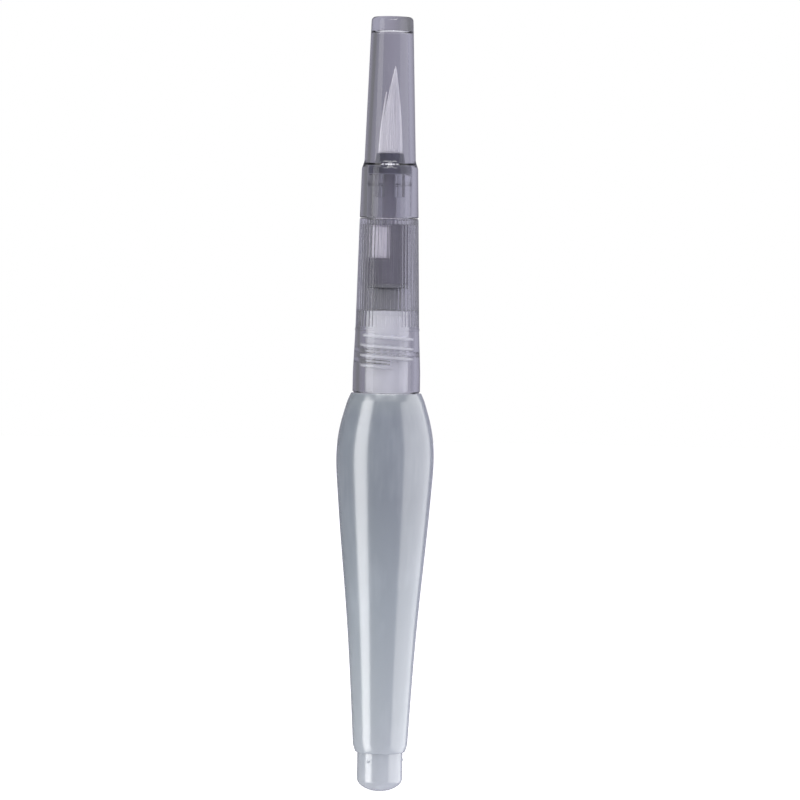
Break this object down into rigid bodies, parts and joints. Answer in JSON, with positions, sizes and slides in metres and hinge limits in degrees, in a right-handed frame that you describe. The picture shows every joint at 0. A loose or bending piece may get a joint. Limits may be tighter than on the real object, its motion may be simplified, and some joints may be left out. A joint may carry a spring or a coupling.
{
  "type": "refillable brush pen",
  "caption": "Capped water brush pen: a soft squeeze barrel feeds water through a screw-on clear ribbed grip to a pointed brush under a clear pull-off cap.",
  "frame": {"origin": "centre of the tail's rounded end", "axes": "+Z along the pen's axis from the tail to the brush tip; -Y is the front, where the stop lug stands"},
  "size_m": [0.0196, 0.0196, 0.1549],
  "materials": {
    "barrel_plastic": "soft translucent polyethylene, satin gloss",
    "milky_plastic": "natural milky polyethylene",
    "seal_rubber": "soft black rubber",
    "dark_plastic": "moulded dark grey plastic",
    "wick_fibre": "pressed white fibre",
    "clear_plastic": "clear polystyrene, polished",
    "bristle_nylon": "fine white nylon filament"
  },
  "bodies": {
    "barrel": {"squeeze_barrel": "barrel_plastic", "flow_regulator": "milky_plastic"},
    "head_carriage": {"seal_ring": "seal_rubber"},
    "head": {"grip_section": "clear_plastic", "wick_holder": "dark_plastic", "feed_wick": "wick_fibre", "brush_nozzle": "dark_plastic", "bristle_tuft": "bristle_nylon"},
    "cap": {"cap": "clear_plastic"}
  },
  "joints": [
    {"name": "head_rise", "type": "slide", "parent": "barrel", "child": "head_carriage", "axis": [0, 0, 1], "range_m": [0, 0.0069]},
    {"name": "head_turn", "type": "hinge", "parent": "head_carriage", "child": "head", "pos_m": [0, 0, 0.0866], "axis": [0, 0, -1], "range_deg": [0, 1224]},
    {"name": "cap_pull", "type": "slide", "parent": "head", "child": "cap", "axis": [0, 0, 1], "range_m": [0, 0.04]}
  ],
  "couplings": [
    {"joint": "head_rise", "follows": "head_turn", "m_per_rad": 0.00031831}
  ]
}
